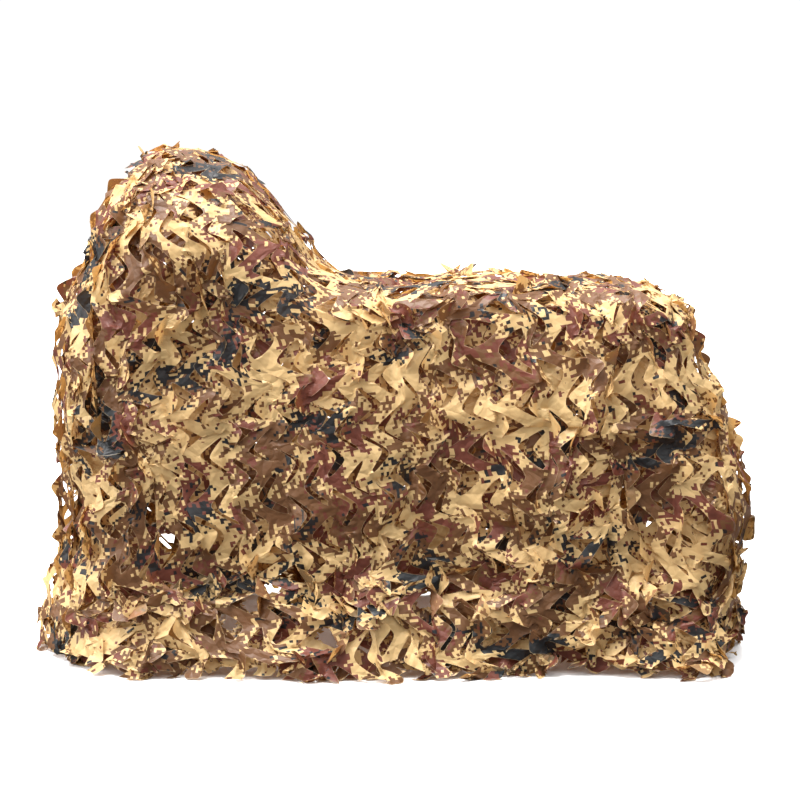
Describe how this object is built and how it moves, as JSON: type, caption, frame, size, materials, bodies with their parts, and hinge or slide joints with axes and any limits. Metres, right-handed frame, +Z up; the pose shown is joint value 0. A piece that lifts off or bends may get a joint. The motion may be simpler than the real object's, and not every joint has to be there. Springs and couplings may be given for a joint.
{
  "type": "camouflage netting",
  "caption": "Leaf-cut camouflage net in a small-square desert print, draped in the form of a long low thing with a tall rounded left end, hollow and open below.",
  "frame": {"origin": "on the floor, under the middle of the box round the drape", "axes": "+X along the length, away from the tall end; +Y from the front to the back; +Z up"},
  "size_m": [1.3914, 0.789, 0.9516],
  "materials": {
    "leaf_cut_cloth": "satin"
  },
  "bodies": {
    "root": {"net_cloth": "leaf_cut_cloth"}
  },
  "joints": []
}
